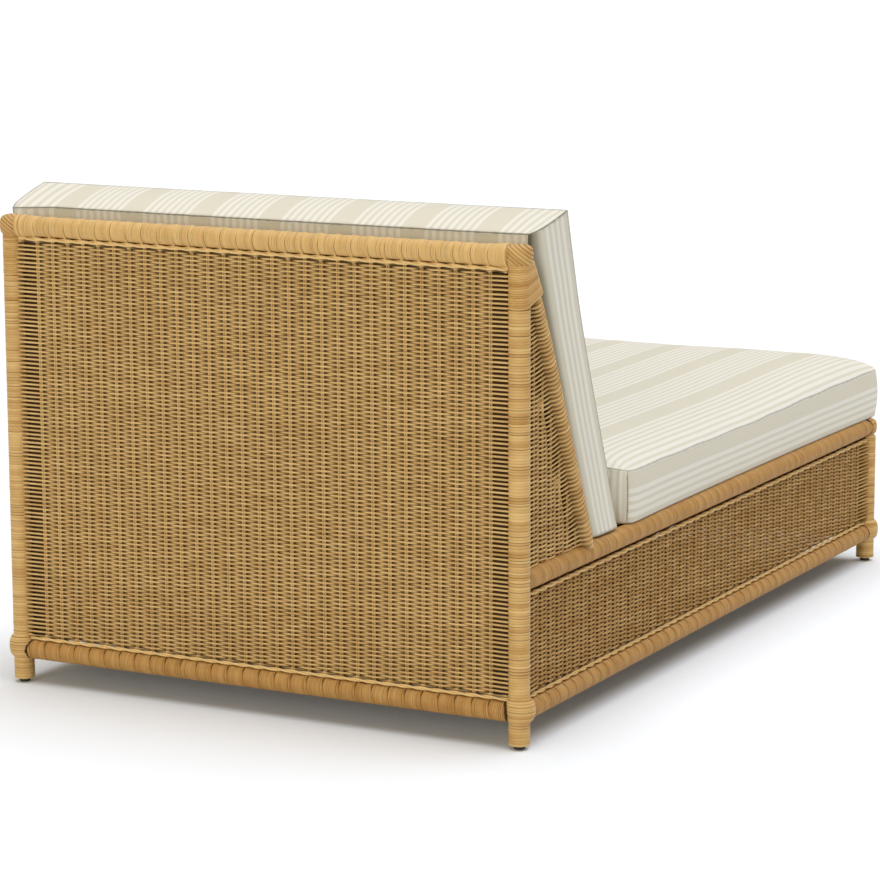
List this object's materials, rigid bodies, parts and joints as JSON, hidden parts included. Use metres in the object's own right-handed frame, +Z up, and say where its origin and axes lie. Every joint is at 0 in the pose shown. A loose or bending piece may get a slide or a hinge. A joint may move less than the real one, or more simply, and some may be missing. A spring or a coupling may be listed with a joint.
{
  "type": "rattan sun lounger",
  "caption": "Wicker daybed with a wrapped pole frame, woven skins, a fixed leaning back and loose striped box cushions that lift off.",
  "frame": {"origin": "on the floor, under the middle of the lounger's overall box", "axes": "+Z up, +Y towards the backrest, -Y the foot end, +X the sitter's left"},
  "size_m": [0.9188, 1.4767, 0.7812],
  "materials": {
    "rattan_pole": "satin",
    "wound_cane": "satin",
    "woven_cane": "satin",
    "glide_plastic": "satin",
    "nail_steel": "zinc plated",
    "striped_cloth": "matt woven",
    "cushion_foam": "matt",
    "zip_tape": "matt"
  },
  "bodies": {
    "frame": {"rear_post_left": "rattan_pole", "rear_post_right": "rattan_pole", "front_post_left": "rattan_pole", "front_post_right": "rattan_pole", "back_top_rail": "rattan_pole", "back_lower_rail": "rattan_pole", "front_upper_rail": "rattan_pole", "front_lower_rail": "rattan_pole", "side_upper_rail_left": "rattan_pole", "side_lower_rail_left": "rattan_pole", "back_stile_left": "rattan_pole", "side_upper_rail_right": "rattan_pole", "side_lower_rail_right": "rattan_pole", "back_stile_right": "rattan_pole", "rear_post_left_wrap": "wound_cane", "rear_post_right_wrap": "wound_cane", "front_post_left_wrap": "wound_cane", "front_post_right_wrap": "wound_cane", "back_top_rail_wrap": "wound_cane", "back_lower_rail_wrap": "wound_cane", "front_upper_rail_wrap": "wound_cane", "front_lower_rail_wrap": "wound_cane", "side_upper_rail_left_wrap": "wound_cane", "side_lower_rail_left_wrap": "wound_cane", "back_stile_left_wrap": "wound_cane", "side_upper_rail_right_wrap": "wound_cane", "side_lower_rail_right_wrap": "wound_cane", "back_stile_right_wrap": "wound_cane", "backrest_base_rail": "rattan_pole", "deck_cross_bars": "rattan_pole", "rear_corner_bindings": "wound_cane", "rear_corner_caps": "wound_cane", "front_corner_caps": "wound_cane", "back_woven_panel": "woven_cane", "back_panel_borders": "woven_cane", "front_woven_panel": "woven_cane", "front_panel_borders": "woven_cane", "side_woven_panel_left": "woven_cane", "side_panel_borders_left": "woven_cane", "wedge_woven_panel_left": "woven_cane", "side_woven_panel_right": "woven_cane", "side_panel_borders_right": "woven_cane", "wedge_woven_panel_right": "woven_cane", "backrest_woven_face": "woven_cane", "seat_woven_deck": "woven_cane", "foot_glides": "glide_plastic", "frame_nails": "nail_steel"},
    "seat_cushion": {"seat_cushion_cover": "striped_cloth", "seat_cushion_foam": "cushion_foam", "seat_cushion_zip": "zip_tape"},
    "back_cushion": {"back_cushion_cover": "striped_cloth", "back_cushion_foam": "cushion_foam", "back_cushion_zip": "zip_tape"}
  },
  "joints": [
    {"name": "seat_cushion_lift", "type": "slide", "parent": "frame", "child": "seat_cushion", "axis": [0, 0, 1], "range_m": [0, 0.3]},
    {"name": "back_cushion_lift", "type": "slide", "parent": "frame", "child": "back_cushion", "axis": [0, 0.3731, 0.9278], "range_m": [0, 0.3]}
  ]
}
